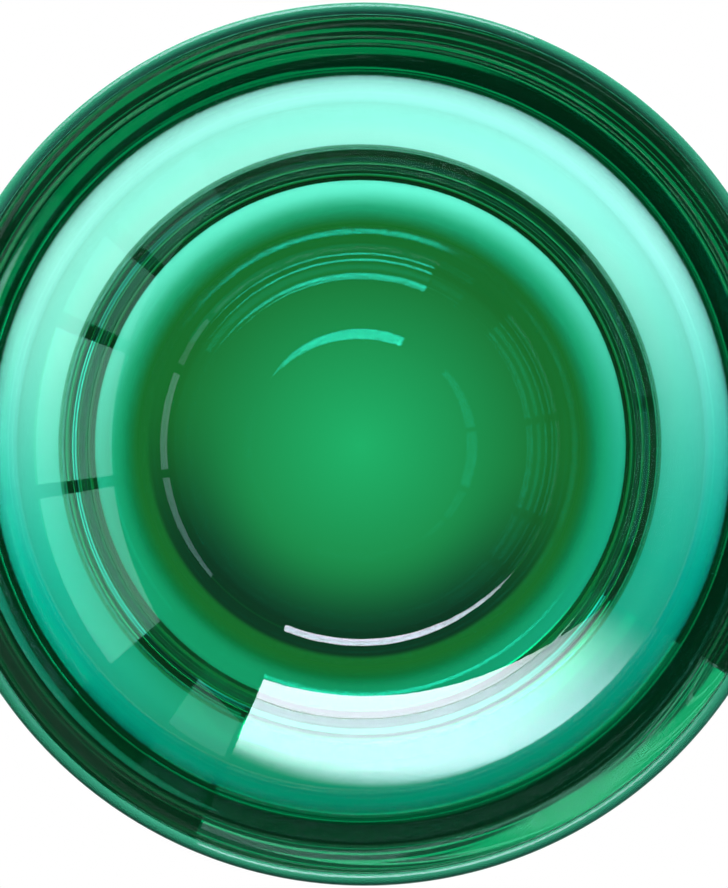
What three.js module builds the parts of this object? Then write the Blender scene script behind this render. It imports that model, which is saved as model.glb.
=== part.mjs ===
// A water glass: a blown tumbler bowl of green glass on a short, heavy foot.
// Sizes are in millimetres and slopes in degrees above level. +Z is up, and the origin is the middle of
// the face that the glass stands on. The bowl and the foot are two gathers of glass, fused hot: each is
// a solid turned about Z, and they meet on a flat seam inside the waist.
import * as THREE from "three";

// The whole glass
const glassHeight = 90;
const rimRadius = 44;

// Rim and wall
const rimThickness = 1.15;
const rimCrown = 0.5; // height of the melted lip above the wall
const wallTaper = 0.2; // how much narrower the outside is at the lower end of its straight wall
const wallThickness = 1.8; // between the lower ends of the outer and the inner wall
const outerWallStart = 43.3; // height at which the outside becomes straight
const innerWallStart = 55; // height at which the inside becomes nearly straight
const innerWallSwell = 0.185; // how far the inside swells outwards half-way up from there

// Foot
const footRadius = 33.2;
const heelRadius = 5; // rounding from the standing ring up to the foot's side
const standingRingWidth = 2.2;

// Hollow under the foot: soft steps of glass, from the standing ring inwards
const hollowSteps = [
  { drop: 0.36, slope: 11, flatInside: 0 },
  { drop: 0.63, slope: 18.7, flatInside: 3.7 },
  { drop: 0.4, slope: 19, flatInside: 0 },
];

// Waist and underside of the bowl
const waistRadius = 8.2; // hollow rounding between the foot and the bowl
const seamSlope = 70; // slope of the waist where the foot ends and the bowl begins
const undersideSlope = 51; // slope with which the waist runs out into the underside
const undersidePull = 0.846; // how long the underside keeps that slope, as a share of the way to the wall
const outerWallPull = 0.687; // how long the outside keeps the wall's slope below it, as a share of the rise

// Floor inside the bowl, from the middle outwards
const floorHeight = 14;
const flatFloorRadius = 20.56;
const dishRadius = 3.8; // hollow rounding at the edge of the flat middle
const dishSlope = 26; // where that rounding ends, the steepest part of the dish
const shoulderRadius = 1.8; // crown between the dish and the outer floor
const shoulderSlope = 7; // slope with which the outer floor begins
const floorEdgeSlope = 42.7; // slope with which the outer floor turns up into the wall
const cornerReach = 3.93; // from the edge of the outer floor to the wall, measured level
const floorPull = 0.652; // the same two shares for the inside, between the floor and the wall
const innerWallPull = 0.58;

// How finely the round shapes are cut into flats
const roundSegments = 64;
const degreesPerChord = 9;
const curveSteps = 12;
const swellSteps = 6;
const lipSteps = 8;

// The green of the glass, for a plain view of the part
const glassColor = 0x1f9a63;
const glassRoughness = 0.03;
const glassOpacity = 0.5;

const radians = THREE.MathUtils.degToRad;
const sine = (slope) => Math.sin(radians(slope));
const cosine = (slope) => Math.cos(radians(slope));
const slopeOf = (level, rise) => THREE.MathUtils.radToDeg(Math.atan2(rise, level));

// A pen that draws an outline beside the axis: x is the radius, y the height. It knows its slope, so
// each stretch runs on smoothly from the one before.
class Outline {
  constructor(radius, height) {
    this.points = [new THREE.Vector2(radius, height)];
    this.slope = 0;
  }

  get end() {
    return this.points.at(-1);
  }

  lineTo(radius, height) {
    this.slope = slopeOf(radius - this.end.x, height - this.end.y);
    this.points.push(new THREE.Vector2(radius, height));
    return this;
  }

  levelTo(radius) {
    return this.lineTo(radius, this.end.y);
  }

  // A nearly straight run. It swells outwards, by the given amount half-way along.
  swellTo(radius, height, swell) {
    const start = this.end;
    for (let step = 1; step <= swellSteps; step++) {
      const share = step / swellSteps;
      this.points.push(
        new THREE.Vector2(
          start.x + (radius - start.x) * share + 4 * swell * share * (1 - share),
          start.y + (height - start.y) * share,
        ),
      );
    }
    return this;
  }

  // An arc that turns the pen to a new slope, to the left where that is steeper and else to the right.
  bendTo(slope, radius) {
    const side = slope > this.slope ? 1 : -1;
    const centre = new THREE.Vector2(
      this.end.x - side * radius * sine(this.slope),
      this.end.y + side * radius * cosine(this.slope),
    );
    const from = this.slope;
    const chords = Math.ceil(Math.abs(slope - from) / degreesPerChord);
    for (let chord = 1; chord <= chords; chord++) {
      const now = from + ((slope - from) * chord) / chords;
      this.points.push(
        new THREE.Vector2(
          centre.x + side * radius * sine(now),
          centre.y - side * radius * cosine(now),
        ),
      );
    }
    this.slope = slope;
    return this;
  }

  // A curve that arrives at a point with a given slope. The shares say how far its two pulls reach: the
  // first of the level distance, the second of the rise.
  curveTo(radius, height, slope, levelShare, riseShare) {
    const start = this.end;
    const end = new THREE.Vector2(radius, height);
    const startPull = (levelShare * (end.x - start.x)) / cosine(this.slope);
    const endPull = (riseShare * (end.y - start.y)) / sine(slope);
    const curve = new THREE.CubicBezierCurve(
      start,
      new THREE.Vector2(start.x + startPull * cosine(this.slope), start.y + startPull * sine(this.slope)),
      new THREE.Vector2(end.x - endPull * cosine(slope), end.y - endPull * sine(slope)),
      end,
    );
    this.points.push(...curve.getPoints(curveSteps).slice(1));
    this.slope = slope;
    return this;
  }
}

// A step is two equal arcs, down to the step's slope and level again, so its drop gives their radius.
const stepArcRadius = ({ drop, slope }) => drop / (2 * (1 - cosine(slope)));
const stepWidth = (step) => 2 * stepArcRadius(step) * sine(step.slope);

// The underside, from the axis across the hollow and the standing ring, round the heel to the seam.
function footOutline() {
  const ringOuter = footRadius - heelRadius;
  const ringInner = ringOuter - standingRingWidth;
  const hollowDepth = hollowSteps.reduce((sum, step) => sum + step.drop, 0);
  const stepsWidth = hollowSteps.reduce((sum, step) => sum + stepWidth(step) + step.flatInside, 0);
  const outline = new Outline(0, hollowDepth).levelTo(ringInner - stepsWidth);
  for (const step of hollowSteps.toReversed()) {
    if (step.flatInside > 0) outline.levelTo(outline.end.x + step.flatInside);
    outline.bendTo(-step.slope, stepArcRadius(step)).bendTo(0, stepArcRadius(step));
  }
  outline.levelTo(ringOuter).bendTo(90, heelRadius).bendTo(seamSlope, waistRadius);
  return outline;
}

// The outside of the bowl, from the seam up to the lip.
function outsideOutline(seamEdge) {
  const wallFoot = rimRadius - wallTaper;
  const lipFoot = glassHeight - rimCrown;
  const wallSlope = slopeOf(wallTaper, lipFoot - outerWallStart);
  const outline = new Outline(seamEdge.x, seamEdge.y);
  outline.slope = seamSlope;
  outline.bendTo(undersideSlope, waistRadius);
  outline.curveTo(wallFoot, outerWallStart, wallSlope, undersidePull, outerWallPull);
  return outline.lineTo(rimRadius, lipFoot);
}

// The inside of the bowl, from the middle of the floor up to the lip.
function insideOutline() {
  const wallFoot = rimRadius - wallTaper - wallThickness;
  const lipInner = rimRadius - rimThickness;
  const lipFoot = glassHeight - rimCrown;
  const wallSlope = slopeOf(lipInner - wallFoot, lipFoot - innerWallStart);
  const outline = new Outline(0, floorHeight).levelTo(flatFloorRadius);
  outline.bendTo(dishSlope, dishRadius).bendTo(shoulderSlope, shoulderRadius);
  const floorEdge = wallFoot - cornerReach;
  outline.bendTo(floorEdgeSlope, (floorEdge - outline.end.x) / (sine(floorEdgeSlope) - sine(shoulderSlope)));
  outline.curveTo(wallFoot, innerWallStart, wallSlope, floorPull, innerWallPull);
  return outline.swellTo(lipInner, lipFoot, innerWallSwell);
}

// The lip is half an ellipse over the top of the wall.
function lipPoints() {
  const half = rimThickness / 2;
  const arch = new THREE.EllipseCurve(
    rimRadius - half, glassHeight - rimCrown, half, rimCrown, 0, Math.PI,
  );
  return arch.getPoints(lipSteps).slice(1, -1);
}

function turnedMesh(name, points) {
  const geometry = new THREE.LatheGeometry(points, roundSegments).rotateX(Math.PI / 2);
  const material = new THREE.MeshStandardMaterial({
    color: glassColor, roughness: glassRoughness, metalness: 0, transparent: true, opacity: glassOpacity,
  });
  const mesh = new THREE.Mesh(geometry, material);
  mesh.name = name;
  return mesh;
}

const underFoot = footOutline();
const seamEdge = underFoot.end;

const foot = turnedMesh("foot", [...underFoot.points, new THREE.Vector2(0, seamEdge.y)]);
const bowl = turnedMesh("bowl", [
  new THREE.Vector2(0, seamEdge.y),
  ...outsideOutline(seamEdge).points,
  ...lipPoints(),
  ...insideOutline().points.reverse(),
]);

const waterGlass = new THREE.Group();
waterGlass.name = "water_glass";
waterGlass.add(foot, bowl);

export default waterGlass;
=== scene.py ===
# A green blown water glass on a white floor, seen from straight above.
import math

import bmesh
import bpy
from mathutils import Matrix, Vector


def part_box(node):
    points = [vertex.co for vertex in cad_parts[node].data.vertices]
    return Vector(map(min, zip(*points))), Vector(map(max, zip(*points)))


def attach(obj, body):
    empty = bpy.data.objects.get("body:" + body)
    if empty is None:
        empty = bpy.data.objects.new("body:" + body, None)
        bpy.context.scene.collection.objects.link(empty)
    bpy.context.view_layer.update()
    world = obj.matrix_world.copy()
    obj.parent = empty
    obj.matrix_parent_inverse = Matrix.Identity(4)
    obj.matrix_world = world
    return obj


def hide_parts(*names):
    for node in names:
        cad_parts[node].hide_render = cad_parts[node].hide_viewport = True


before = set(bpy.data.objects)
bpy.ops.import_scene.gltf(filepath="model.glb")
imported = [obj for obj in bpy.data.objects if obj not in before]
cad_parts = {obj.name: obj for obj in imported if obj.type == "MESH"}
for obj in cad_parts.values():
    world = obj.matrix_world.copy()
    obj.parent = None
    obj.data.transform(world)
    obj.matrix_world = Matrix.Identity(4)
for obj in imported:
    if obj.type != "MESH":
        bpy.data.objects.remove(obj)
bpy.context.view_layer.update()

# Blender works in metres. The sizes below are in millimetres, and slopes in degrees above level.
MM = 0.001

foot_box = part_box("foot")
bowl_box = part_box("bowl")

# The whole glass, from the frame
GLASS_HEIGHT = bowl_box[1][2] / MM
RIM_RADIUS = bowl_box[1][0] / MM

# Rim and wall
RIM_THICKNESS = 1.15
RIM_CROWN = 0.5
WALL_TAPER = 0.2
WALL_THICKNESS = 1.8
OUTER_WALL_START = 43.3
INNER_WALL_START = 55
INNER_WALL_SWELL = 0.185

# A faint wave round the outside of the wall, as a turning tool leaves it
WAVE_LENGTH = 15.5
WAVE_SWING = 0.012
WAVE_PHASE = 0.97  # as a share of its length
WAVE_RISE = 0.25  # the shares of the wall over which it grows and dies away
WAVE_FALL = 1 / 12
WAVE_STEPS = 60

# Foot. The soft steps of its hollow are given as (drop, slope, flat inside), from the standing ring inwards
SEAM_RADIUS = foot_box[1][0] / MM
WAIST_RADIUS = 8.2
SEAM_SLOPE = 70
HEEL_RADIUS = 5
STANDING_RING_WIDTH = 2.2
HOLLOW_STEPS = [(0.36, 11, 0), (0.63, 18.7, 4.15), (0.4, 14.5, 0)]

# Underside of the bowl
UNDERSIDE_SLOPE = 51
UNDERSIDE_PULL = 0.846
OUTER_WALL_PULL = 0.687

# Floor inside the bowl
FLOOR_HEIGHT = 14
FLAT_FLOOR_RADIUS = 20.56
DISH_RADIUS = 3.8
DISH_SLOPE = 26
SHOULDER_RADIUS = 1.8
SHOULDER_SLOPE = 7
FLOOR_EDGE_SLOPE = 42.7
CORNER_REACH = 3.93
FLOOR_PULL = 0.652
INNER_WALL_PULL = 0.58

# How finely the turned glass is cut
TURN_STEPS = 256
DEGREES_PER_CHORD = 1.5
CURVE_STEPS = 40
SWELL_STEPS = 12
LIP_STEPS = 16
MERGED_WITHIN = 0.001  # points nearer to each other than this are one


def sine(slope):
    return math.sin(math.radians(slope))


def cosine(slope):
    return math.cos(math.radians(slope))


def slope_of(level, rise):
    return math.degrees(math.atan2(rise, level))


class Outline:
    """A pen that draws an outline beside the axis, as points of radius and height. It knows its slope,
    so each stretch runs on smoothly from the one before."""

    def __init__(self, radius, height):
        self.points = [(radius, height)]
        self.slope = 0

    @property
    def end(self):
        return self.points[-1]

    def line_to(self, radius, height):
        self.slope = slope_of(radius - self.end[0], height - self.end[1])
        self.points.append((radius, height))
        return self

    def swell_to(self, radius, height, swell):
        """A nearly straight run. It swells outwards, by the given amount half-way along."""
        start = self.end
        for step in range(1, SWELL_STEPS + 1):
            share = step / SWELL_STEPS
            self.points.append((start[0] + (radius - start[0]) * share + 4 * swell * share * (1 - share),
                                start[1] + (height - start[1]) * share))
        return self

    def wave_to(self, radius, height):
        """A straight run with a faint wave in it, which dies away towards both ends."""
        start = self.end
        for step in range(1, WAVE_STEPS + 1):
            share = step / WAVE_STEPS
            level = start[1] + (height - start[1]) * share
            swing = WAVE_SWING * math.sin(2 * math.pi * (level / WAVE_LENGTH + WAVE_PHASE))
            fading = min(1, share / WAVE_RISE, (1 - share) / WAVE_FALL)
            self.points.append((start[0] + (radius - start[0]) * share + swing * fading, level))
        return self

    def level_to(self, radius):
        return self.line_to(radius, self.end[1])

    def bend_to(self, slope, radius):
        """An arc that turns the pen to a new slope, to the left where that is steeper."""
        side = 1 if slope > self.slope else -1
        start, turn = self.slope, slope - self.slope
        centre = (self.end[0] - side * radius * sine(start), self.end[1] + side * radius * cosine(start))
        chords = math.ceil(abs(turn) / DEGREES_PER_CHORD)
        for chord in range(1, chords + 1):
            now = start + turn * chord / chords
            self.points.append((centre[0] + side * radius * sine(now),
                                centre[1] - side * radius * cosine(now)))
        self.slope = slope
        return self

    def curve_to(self, radius, height, slope, level_share, rise_share):
        """A curve that arrives at a point with a given slope. The shares say how far its two pulls
        reach: the first of the level distance, the second of the rise."""
        start = Vector((*self.end, 0))
        end = Vector((radius, height, 0))
        leave = Vector((cosine(self.slope), sine(self.slope), 0))
        arrive = Vector((cosine(slope), sine(slope), 0))
        pull_out = start + leave * level_share * (end.x - start.x) / leave.x
        pull_in = end - arrive * rise_share * (end.y - start.y) / arrive.y
        for step in range(1, CURVE_STEPS + 1):
            share = step / CURVE_STEPS
            rest = 1 - share
            point = (rest**3 * start + 3 * rest**2 * share * pull_out
                     + 3 * rest * share**2 * pull_in + share**3 * end)
            self.points.append((point.x, point.y))
        self.slope = slope
        return self


def step_arc_radius(drop, slope):
    """A step is two equal arcs, down to the step's slope and level again."""
    return drop / (2 * (1 - cosine(slope)))


def step_width(drop, slope):
    return 2 * step_arc_radius(drop, slope) * sine(slope)


def outside_outline():
    """From the axis across the hollow and the standing ring, round the heel and up to the lip."""
    foot_radius = SEAM_RADIUS - WAIST_RADIUS * (1 - sine(SEAM_SLOPE))
    ring_outer = foot_radius - HEEL_RADIUS
    ring_inner = ring_outer - STANDING_RING_WIDTH
    hollow_depth = sum(drop for drop, slope, flat in HOLLOW_STEPS)
    steps_width = sum(step_width(drop, slope) + flat for drop, slope, flat in HOLLOW_STEPS)
    outline = Outline(0, hollow_depth).level_to(ring_inner - steps_width)
    for drop, slope, flat in reversed(HOLLOW_STEPS):
        if flat > 0:
            outline.level_to(outline.end[0] + flat)
        outline.bend_to(-slope, step_arc_radius(drop, slope)).bend_to(0, step_arc_radius(drop, slope))
    outline.level_to(ring_outer).bend_to(90, HEEL_RADIUS).bend_to(UNDERSIDE_SLOPE, WAIST_RADIUS)
    wall_slope = slope_of(WALL_TAPER, GLASS_HEIGHT - RIM_CROWN - OUTER_WALL_START)
    outline.curve_to(RIM_RADIUS - WALL_TAPER, OUTER_WALL_START, wall_slope,
                     UNDERSIDE_PULL, OUTER_WALL_PULL)
    outline.wave_to(RIM_RADIUS, GLASS_HEIGHT - RIM_CROWN)
    return outline.points


def lip_points():
    """Half an ellipse over the top of the wall, without its two ends."""
    half = RIM_THICKNESS / 2
    turns = [math.pi * step / LIP_STEPS for step in range(1, LIP_STEPS)]
    return [(RIM_RADIUS - half + half * math.cos(turn),
             GLASS_HEIGHT - RIM_CROWN + RIM_CROWN * math.sin(turn)) for turn in turns]


def inside_outline():
    """From the middle of the floor up to the lip."""
    wall_foot = RIM_RADIUS - WALL_TAPER - WALL_THICKNESS
    lip_inner = RIM_RADIUS - RIM_THICKNESS
    lip_foot = GLASS_HEIGHT - RIM_CROWN
    outline = Outline(0, FLOOR_HEIGHT).level_to(FLAT_FLOOR_RADIUS)
    outline.bend_to(DISH_SLOPE, DISH_RADIUS).bend_to(SHOULDER_SLOPE, SHOULDER_RADIUS)
    floor_edge = wall_foot - CORNER_REACH
    edge_arc = (floor_edge - outline.end[0]) / (sine(FLOOR_EDGE_SLOPE) - sine(SHOULDER_SLOPE))
    outline.bend_to(FLOOR_EDGE_SLOPE, edge_arc)
    wall_slope = slope_of(lip_inner - wall_foot, lip_foot - INNER_WALL_START)
    outline.curve_to(wall_foot, INNER_WALL_START, wall_slope, FLOOR_PULL, INNER_WALL_PULL)
    return outline.swell_to(lip_inner, lip_foot, INNER_WALL_SWELL).points


def linked(name, mesh):
    """An object for a mesh, in the scene's collection."""
    made = bpy.data.objects.new(name, mesh)
    bpy.context.scene.collection.objects.link(made)
    return made


def turned(name, outline):
    """A closed body turned about Z from an outline that starts and ends on the axis."""
    shape = bmesh.new()
    corners = [shape.verts.new((radius * MM, 0, height * MM)) for radius, height in outline]
    edges = [shape.edges.new(pair) for pair in zip(corners, corners[1:])]
    bmesh.ops.spin(shape, geom=corners + edges, cent=(0, 0, 0), axis=(0, 0, 1), angle=2 * math.pi,
                   steps=TURN_STEPS, use_merge=True)
    bmesh.ops.remove_doubles(shape, verts=shape.verts, dist=MERGED_WITHIN * MM)
    bmesh.ops.recalc_face_normals(shape, faces=shape.faces)
    for face in shape.faces:
        face.smooth = True
    mesh = bpy.data.meshes.new(name)
    shape.to_mesh(mesh)
    shape.free()
    return linked(name, mesh)


class Value:
    """A socket that carries a number. An expression on it adds its Math nodes to the tree."""

    def __init__(self, shader, socket):
        self.shader = shader
        self.socket = socket

    def maths(self, operation, *others):
        return self.shader.maths(operation, self, *others)

    def __add__(self, other):
        return self.maths("ADD", other)

    def __radd__(self, other):
        return self.shader.maths("ADD", other, self)

    def __sub__(self, other):
        return self.maths("SUBTRACT", other)

    def __rsub__(self, other):
        return self.shader.maths("SUBTRACT", other, self)

    def __mul__(self, other):
        return self.maths("MULTIPLY", other)

    def __rmul__(self, other):
        return self.shader.maths("MULTIPLY", other, self)

    def __truediv__(self, other):
        return self.maths("DIVIDE", other)

    def __rtruediv__(self, other):
        return self.shader.maths("DIVIDE", other, self)


class Shader:
    """The node tree of a material or of the world, empty at first."""

    def __init__(self, owner):
        owner.use_nodes = True
        self.tree = owner.node_tree
        self.tree.nodes.clear()

    def node(self, kind, settings=None, **values):
        """Adds a node. Its settings are set first, then the values or links of its sockets."""
        made = self.tree.nodes.new("ShaderNode" + kind)
        for name, setting in (settings or {}).items():
            setattr(made, name, setting)
        for name, value in values.items():
            self.feed(made.inputs[name.replace("_", " ")], value)
        return made

    def feed(self, socket, value):
        value = getattr(value, "socket", value)
        if isinstance(value, bpy.types.NodeSocket):
            self.tree.links.new(value, socket)
        else:
            socket.default_value = value

    def maths(self, operation, *values):
        made = self.node("Math", {"operation": operation})
        for socket, value in zip(made.inputs, values):
            self.feed(socket, value)
        return Value(self, made.outputs[0])

    def value(self, node, output):
        return Value(self, node.outputs[output])

    def between(self, value, low, high):
        """From 0 to 1, smoothly, as the value goes from low to high."""
        upward = high > low
        made = self.node("MapRange", {"interpolation_type": "SMOOTHSTEP"}, Value=value,
                         From_Min=min(low, high), From_Max=max(low, high),
                         To_Min=0 if upward else 1, To_Max=1 if upward else 0)
        return self.value(made, "Result")

    def across(self, value, span):
        """From 0 to 1, smoothly, across a span given in millimetres."""
        return self.between(value, span[0] * MM, span[1] * MM)

    def threads(self, along, edge):
        """1 in uneven threads across a value and 0 between them. They are about 1 apart, and their edges
        lie between these two levels of the noise."""
        noise = self.node("TexNoise", {"noise_dimensions": "1D"}, W=along, Scale=1, Detail=0)
        return self.between(self.value(noise, 0), *edge)

    def reflected(self, times):
        """1 for a ray that has been reflected so many times or more, else 0."""
        depth = self.value(self.node("LightPath"), "Glossy Depth")
        return depth.maths("GREATER_THAN", times - 0.5)

    def mixed(self, blend, share, first, second):
        """Two colours, given as sockets or as numbers, mixed by a share."""
        made = self.node("Mix", {"data_type": "RGBA", "blend_type": blend, "clamp_factor": True})
        self.feed(made.inputs["Factor"], share)
        for socket, colour in ((made.inputs[6], first), (made.inputs[7], second)):
            self.feed(socket, (*colour, 1) if isinstance(colour, tuple) else colour)
        return made.outputs[2]

    def blended(self, share, first, second):
        """Two shader nodes mixed by a share of the second."""
        made = self.node("MixShader")
        self.feed(made.inputs[0], share)
        self.feed(made.inputs[1], first.outputs[0])
        self.feed(made.inputs[2], second.outputs[0])
        return made


# The green of the glass: how much of red, green and blue a metre of it takes away
ABSORBED = (125, 15, 31)
GLASS_IOR = 1.52
LET_THROUGH = (0.6, 0.93, 0.74)  # by each surface, where a lamp shines through

# The standing ring is scuffed where it has slid over tables
SCUFFED = (0.2, 0.02)  # from this height down to this
SCUFFED_ROUGHNESS = 0.22
SCUFF_SIZE = 0.7
SCUFF_DETAIL = 2

# A dull teal painted on the lip is painted light: it stands in for the light that the wall carries up and
# gives off all round the lip
LIP = (GLASS_HEIGHT - RIM_CROWN, GLASS_HEIGHT - RIM_CROWN + 0.15)  # from this height up to this
LIP_PAINTED_LIGHT_SHARE = 0.65
LIP_PAINTED_LIGHT_COLOUR = (0.03, 0.26, 0.15)


def green_glass():
    """Clear green glass. Lamps shine straight through it, tinted by its thickness."""
    material = bpy.data.materials.new("green_glass")
    shader = Shader(material)
    strongest = max(ABSORBED)
    colour = [1 - share / strongest for share in ABSORBED]
    where = shader.node("TexCoord").outputs["Object"]
    height = shader.value(shader.node("SeparateXYZ", Vector=where), "Z")
    scuffs = shader.node("TexNoise", Vector=where, Scale=1 / (SCUFF_SIZE * MM), Detail=SCUFF_DETAIL)
    scuffed = shader.across(height, SCUFFED) * shader.value(scuffs, 0)
    surface = shader.node("BsdfPrincipled", Base_Color=(1, 1, 1, 1), Roughness=SCUFFED_ROUGHNESS * scuffed,
                          IOR=GLASS_IOR, Transmission_Weight=1)
    # painted light: a dull teal mixed into the glass at its lip
    lip = shader.node("BsdfDiffuse", Color=(*LIP_PAINTED_LIGHT_COLOUR, 1))
    body = shader.blended(LIP_PAINTED_LIGHT_SHARE * shader.across(height, LIP), surface, lip)
    clear = shader.node("BsdfTransparent", Color=(*LET_THROUGH, 1))
    seen = shader.blended(shader.node("LightPath").outputs["Is Shadow Ray"], body, clear)
    volume = shader.node("VolumeAbsorption", Color=(*colour, 1), Density=strongest)
    shader.node("OutputMaterial", Surface=seen.outputs[0], Volume=volume.outputs[0])
    return material


glass = turned("glass", outside_outline() + lip_points() + inside_outline()[::-1])
glass.data.materials.append(green_glass())
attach(glass, "root")
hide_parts("bowl", "foot")

# The stage: a white floor, and round it the lights of the room
FLOOR_SIZE = 12000
FLOOR_WHITE = 0.95
BESIDE_GLASS = (36, 48)  # across these radii the camera stops seeing the shade round the glass
FAR_FLOOR = (70, 140)  # and across these the glass does

# Painted light and painted shade on the floor under the glass and round it, standing in for what the glass
# gathers and throws there
UNDER_FOOT = (26.1, 28.4)  # the edge of what lies under the foot
GATHERED = (0.06, 0.58, 0.22)  # in the middle
DEEP = (0.04, 0.2, 0.037)  # towards the edge
DEEP_RADIUS = 22.5
AWAY = 178  # the bearing in which the softbox throws the shade that is painted here
SHADE_SPREAD = (-0.6, 0.45)  # how far to its sides, as the cosine of the angle from that bearing
SHADE_TINT = (0.012, 0.76, 0.72)  # painted shade: no red comes through the glass
SHADE_OUTER = (36, 44)  # across these radii the shade grows deeper
SHADE_OUTER_TINT = (0.3, 0.8, 0.75)
CRESCENT_AWAY = 190  # the bearing of the middle of a crescent of painted shade under the foot
CRESCENT_SPREAD = (-0.2, 0.8)
CRESCENT_INNER = (12.5, 22.5)
CRESCENT_OUTER = (25.3, 24.5)
CRESCENT_TINT = (0.2, 0.23, 0.55)
THROWN = (32.5, 36)  # from here outwards the floor is painted with the green light that the wall above it throws
THROWN_TINT = (0.64, 1, 0.94)

# Painted rings of light on the floor, each given by the radii between which it begins and between which it
# ends
RING_OF_LIGHT = (27.3, 29.6, 34, 37)  # close round the foot
RING_OF_LIGHT_SHARE = 0.16
RING_OF_LIGHT_TINT = (0.2, 1.5, 0.95)

# Painted light and painted dark that the floor shows to rays that have been reflected twice or more, or
# often, inside the glass
TWICE = 2
OFTEN = 3
OFTEN_LIT = (12, 14, 25.2, 26)  # the ring on which the light within the wall lands
OFTEN_LIGHT = (0.75, 0.75, 0.75)
OFTEN_DARK = (26, 27.5)  # across these radii the floor grows dark to rays reflected often
OFTEN_OPEN = (37.5, 39, 42.5, 44)  # apart from this ring
TWICE_DARK = (50, 54)  # and across these to those reflected twice
TWICE_LIT = (55.5, 57, 60.5, 62)  # apart from this ring, on the shaded side
TWICE_LIGHT = 1
DARK_LIGHT = 0.12


def floor_material():
    """White and dull, lit by the lamps, with painted light and painted shade for what the glass throws on
    it.
    Further off, the camera and the glass see it as plain white."""
    material = bpy.data.materials.new("floor_white_with_painted_light")
    shader = Shader(material)
    where = shader.node("TexCoord").outputs["Object"]
    radius = shader.value(shader.node("VectorMath", {"operation": "LENGTH"}, Vector=where), "Value")
    outwards = shader.node("VectorMath", {"operation": "NORMALIZE"}, Vector=where).outputs["Vector"]
    path = shader.node("LightPath")

    def across(span):
        """From 0 to 1 across two radii."""
        return shader.across(radius, span)

    def ring(span):
        """1 within a ring and 0 outside it, with soft edges."""
        return across(span[:2]) * across((span[3], span[2]))

    def towards(bearing):
        """The cosine of the angle between a place's bearing and this one."""
        made = shader.node("VectorMath", {"operation": "DOT_PRODUCT"})
        shader.feed(made.inputs[0], outwards)
        shader.feed(made.inputs[1], (sine(bearing), cosine(bearing), 0))
        return shader.value(made, "Value")

    in_crescent = shader.between(towards(CRESCENT_AWAY), *CRESCENT_SPREAD)
    crescent = in_crescent * across(CRESCENT_INNER) * across(CRESCENT_OUTER)
    in_shade = shader.between(towards(AWAY), *SHADE_SPREAD)
    twice = shader.reflected(TWICE)
    often = shader.reflected(OFTEN)

    # Painted light under the foot, darkened in a crescent of painted shade
    gathered = shader.mixed("MIX", radius / (DEEP_RADIUS * MM), GATHERED, DEEP)
    gathered = shader.mixed("MULTIPLY", crescent, gathered, CRESCENT_TINT)
    gathered = shader.mixed("MIX", often * ring(OFTEN_LIT), gathered, OFTEN_LIGHT)
    # painted light: the floor under the foot glows with this emission
    glow = shader.node("Emission", Color=gathered, Strength=1)

    # Painted shade round the foot, the painted green that the wall throws, and a painted ring of light
    shaded = shader.mixed("MULTIPLY", in_shade, (FLOOR_WHITE,) * 3, SHADE_TINT)
    shaded = shader.mixed("MULTIPLY", in_shade * across(SHADE_OUTER), shaded, SHADE_OUTER_TINT)
    shaded = shader.mixed("MULTIPLY", across(THROWN), shaded, THROWN_TINT)
    # the white floor, with the painted shade and the painted green multiplied into its colour
    white = shader.node("BsdfDiffuse", Color=shaded)
    # painted light: a ring that glows close round the foot
    light = shader.node("Emission", Color=(*RING_OF_LIGHT_TINT, 1), Strength=1)
    lit = shader.blended(RING_OF_LIGHT_SHARE * ring(RING_OF_LIGHT), white, light)
    near = shader.blended(across(UNDER_FOOT), glow, lit)

    # Further off
    plain = shader.node("Emission", Color=(1, 1, 1, 1), Strength=1)
    camera = shader.value(path, "Is Camera Ray")
    through = shader.value(path, "Is Glossy Ray").maths("MAXIMUM", path.outputs["Is Transmission Ray"])
    floor = shader.blended(camera * across(BESIDE_GLASS) + through * across(FAR_FLOOR), near, plain)

    # Painted dark and painted light shown to rays reflected twice and often
    still_lit = TWICE_LIGHT * (1 - often) * in_shade * ring(TWICE_LIT)
    dark = shader.node("Emission", Color=(1, 1, 1, 1), Strength=DARK_LIGHT + still_lit)
    shut = often * across(OFTEN_DARK) * (1 - ring(OFTEN_OPEN))
    shut = shut.maths("MAXIMUM", twice * across(TWICE_DARK))
    shader.node("OutputMaterial", Surface=shader.blended(shut, floor, dark).outputs[0])
    return material


def white_floor():
    shape = bmesh.new()
    bmesh.ops.create_grid(shape, x_segments=1, y_segments=1, size=FLOOR_SIZE * MM / 2)
    mesh = bpy.data.meshes.new("floor")
    shape.to_mesh(mesh)
    shape.free()
    mesh.materials.append(floor_material())
    linked("floor", mesh)


white_floor()


def upright_pane(name, facing, bearings, tilts, distance):
    """An upright pane. It faces the glass from the bearing facing, in degrees clockwise from +Y, and
    reaches from the first to the second of the bearings. The tilts are the angles from straight up at
    which its top and bottom edges stand in the middle."""
    top, bottom = [distance / math.tan(math.radians(tilt)) for tilt in tilts]
    left, right = [distance * math.tan(math.radians(bearing - facing)) for bearing in bearings]
    shape = bmesh.new()
    bmesh.ops.create_grid(shape, x_segments=1, y_segments=1, size=0.5)
    for corner in shape.verts:
        across = left + (right - left) * (corner.co.x + 0.5)
        height = bottom + (top - bottom) * (corner.co.y + 0.5)
        corner.co = Vector((distance * sine(facing) + across * cosine(facing),
                            distance * cosine(facing) - across * sine(facing), height)) * MM
    mesh = bpy.data.meshes.new(name)
    shape.to_mesh(mesh)
    shape.free()
    made = linked(name, mesh)
    return made


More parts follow.
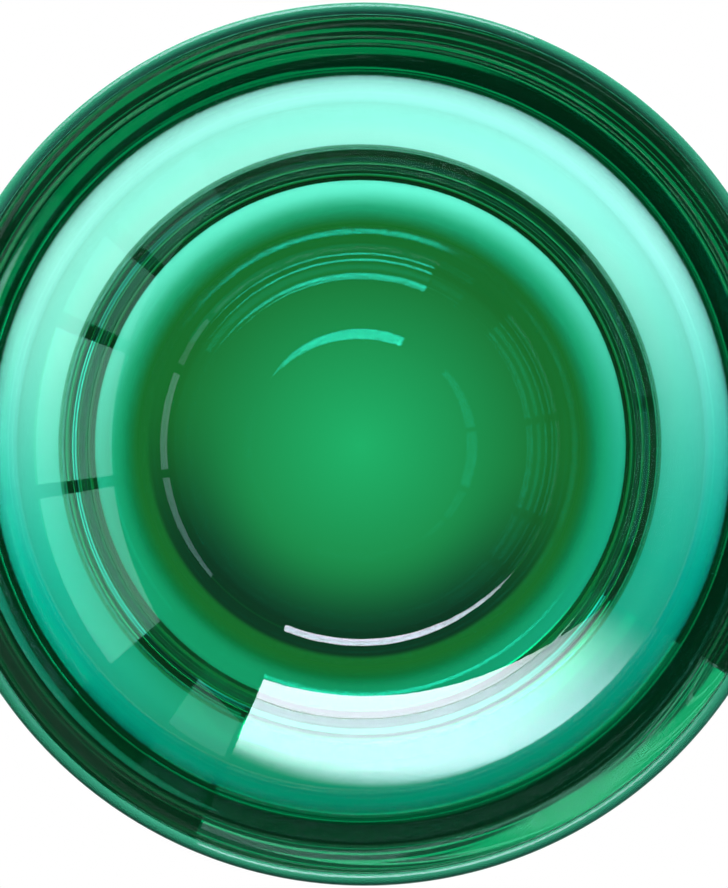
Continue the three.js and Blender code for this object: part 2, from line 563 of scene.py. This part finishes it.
# The windows: each pane's bearings from left to right, and its strength
WINDOW_FACING = 92
WINDOW_DISTANCE = 1500
WINDOW_TILTS = (33, 72)
WINDOW_TINT = (0.8, 1.05, 1.25)
WINDOW_PANES = {
    "pane_1": ((24, 35), 1), "pane_2": ((49, 80.5), 2), "pane_3": ((83, 111), 2),
    "pane_4": ((114, 129), 1), "pane_5": ((132, 150), 0.5),
}


def window_pane(name, bearings, strength):
    pane = upright_pane(name, WINDOW_FACING, bearings, WINDOW_TILTS, WINDOW_DISTANCE)
    material = bpy.data.materials.new(name)
    shader = Shader(material)
    glow = shader.node("Emission", Color=(*WINDOW_TINT, 1), Strength=strength)
    shader.node("OutputMaterial", Surface=glow.outputs[0])
    pane.data.materials.append(material)


# The large soft lamp, and its light as the glass sees it: once reflected, twice, and often
SOFTBOX_FACING = 5
SOFTBOX_DISTANCE = 900
SOFTBOX_BEARINGS = (-58, 23)
SOFTBOX_TILTS = (33, 87)
SOFTBOX_LIGHT = 8
SOFTBOX_ONCE = 19
SOFTBOX_TWICE = 2.4
SOFTBOX_OFTEN = 1
SOFTBOX_TINT = (0.96, 0.92, 1.12)
DIM_LEFT = (-1766, -250)  # reflected once, it grows brighter across this stretch from its left end
DIM_LOW = (100, 400)  # and upwards from its bottom edge, between these heights
LOW_SLANT = 0.3  # along an edge that sinks to the left
WEDGE_ASIDE = -630  # reflected more often, it shows above the edges of a wedge with its point here
WEDGE_SLANT = 0.19
WEDGE_LOW = (55, 100)
THREAD_HEIGHT = 20  # and below them only as thin threads
THREAD_EDGE = (0.53, 0.58)
THREAD_LIGHT = (0.4, 2.2)  # between and in the threads


def softbox():
    pane = upright_pane("softbox", SOFTBOX_FACING, SOFTBOX_BEARINGS, SOFTBOX_TILTS, SOFTBOX_DISTANCE)
    material = bpy.data.materials.new("softbox")
    shader = Shader(material)
    place = shader.node("SeparateXYZ", Vector=shader.node("TexCoord").outputs["Object"])
    aside = (shader.value(place, "X") * cosine(SOFTBOX_FACING)
             - shader.value(place, "Y") * sine(SOFTBOX_FACING))
    height = shader.value(place, "Z")
    mirrored = shader.value(shader.node("LightPath"), "Is Glossy Ray")
    twice = shader.reflected(TWICE)
    often = shader.reflected(OFTEN)
    once_light = (SOFTBOX_ONCE * shader.across(aside, DIM_LEFT)
                  * shader.across(height - LOW_SLANT * aside, DIM_LOW))
    from_point = (aside - WEDGE_ASIDE * MM).maths("ABSOLUTE")
    wedge = shader.across(height - WEDGE_SLANT * from_point, WEDGE_LOW)
    gap_light, thread_light = THREAD_LIGHT
    in_thread = shader.threads(height / (THREAD_HEIGHT * MM), THREAD_EDGE)
    threads = gap_light + (thread_light - gap_light) * in_thread
    wedge_light = SOFTBOX_TWICE + (SOFTBOX_OFTEN - SOFTBOX_TWICE) * often
    twice_light = wedge_light * wedge + threads * (1 - wedge)
    seen = once_light * (1 - twice) + twice_light * twice
    glow = shader.node("Emission", Color=shader.mixed("MIX", mirrored, (1.0, 1.0, 1.0), SOFTBOX_TINT),
                       Strength=SOFTBOX_LIGHT + (seen - SOFTBOX_LIGHT) * mirrored)
    shader.node("OutputMaterial", Surface=glow.outputs[0])
    pane.data.materials.append(material)


softbox()
for name, (bearings, strength) in WINDOW_PANES.items():
    window_pane(name, bearings, strength)

# The room is dim. Where it is looked into is given by the height of the direction, 0 at the horizon
ROOM_DIM = 0.08
ROOM_LOW = 0.13
ROOM_LOW_END = (0.1, 0.25)
# Reflected twice or more, it has bright threads low down, most of them towards -Y
ROOM_THREAD_LIGHT = 1.1
ROOM_THREAD_HEIGHT = 0.03
ROOM_THREAD_EDGE = (0.52, 0.57)
ROOM_THREADS_END = (0.2, 0.12)
ROOM_THREADS_SIDE = (0.6, -0.6)
ROOM_THREADS_LEAST = 0.3


def room():
    """The room, which the camera sees as plain white."""
    world = bpy.data.worlds.new("room")
    bpy.context.scene.world = world
    shader = Shader(world)
    way = shader.node("SeparateXYZ", Vector=shader.node("TexCoord").outputs["Generated"])
    height = shader.value(way, "Z")
    lowness = 1 - shader.between(height, *ROOM_LOW_END)
    side = shader.between(shader.value(way, "Y"), *ROOM_THREADS_SIDE)
    threads = (shader.threads(height / ROOM_THREAD_HEIGHT, ROOM_THREAD_EDGE)
               * shader.reflected(TWICE) * shader.between(height, *ROOM_THREADS_END)
               * (ROOM_THREADS_LEAST + (1 - ROOM_THREADS_LEAST) * side))
    seen = ROOM_DIM + (ROOM_LOW - ROOM_DIM) * lowness + ROOM_THREAD_LIGHT * threads
    camera = shader.value(shader.node("LightPath"), "Is Camera Ray")
    glow = shader.node("Background", Color=(1, 1, 1, 1), Strength=seen + (1 - seen) * camera)
    shader.node("OutputWorld", Surface=glow.outputs[0])


room()

# The camera stands over the glass, a little to the left of it and towards the bottom of the picture
CAMERA_ABOVE_RIM = 600
CAMERA_ASIDE = (-3.9, -1.3)
PICTURE = (728, 888)
RIM_RADIUS_PIXELS = 442
RIM_CENTRE_PIXELS = (365, 444)
SENSOR_WIDTH = 36
CLIPPED = (10, 20000)  # nearer and further than these nothing is seen


def camera():
    """Looks down at the rim, whose size and place in the picture set the lens and the aim."""
    view = bpy.data.cameras.new("camera")
    made = linked("camera", view)
    bpy.context.scene.camera = made
    focal_pixels = RIM_RADIUS_PIXELS * CAMERA_ABOVE_RIM / RIM_RADIUS
    view.sensor_width = SENSOR_WIDTH
    view.lens = focal_pixels * view.sensor_width / max(PICTURE)
    view.clip_start = CLIPPED[0] * MM
    view.clip_end = CLIPPED[1] * MM
    aside = [(RIM_CENTRE_PIXELS[0] - PICTURE[0] / 2) / focal_pixels,
             (RIM_CENTRE_PIXELS[1] - PICTURE[1] / 2) / focal_pixels]
    aim_x = -aside[0] * CAMERA_ABOVE_RIM
    aim_y = aside[1] * CAMERA_ABOVE_RIM
    made.location = Vector((*CAMERA_ASIDE, GLASS_HEIGHT + CAMERA_ABOVE_RIM)) * MM
    made.rotation_euler = (math.atan((aim_y - CAMERA_ASIDE[1]) / CAMERA_ABOVE_RIM),
                           -math.atan((aim_x - CAMERA_ASIDE[0]) / CAMERA_ABOVE_RIM), 0)


camera()

scene = bpy.context.scene
scene.view_settings.view_transform = "Standard"
scene.cycles.caustics_reflective = False
scene.cycles.caustics_refractive = False
scene.cycles.sample_clamp_indirect = 0
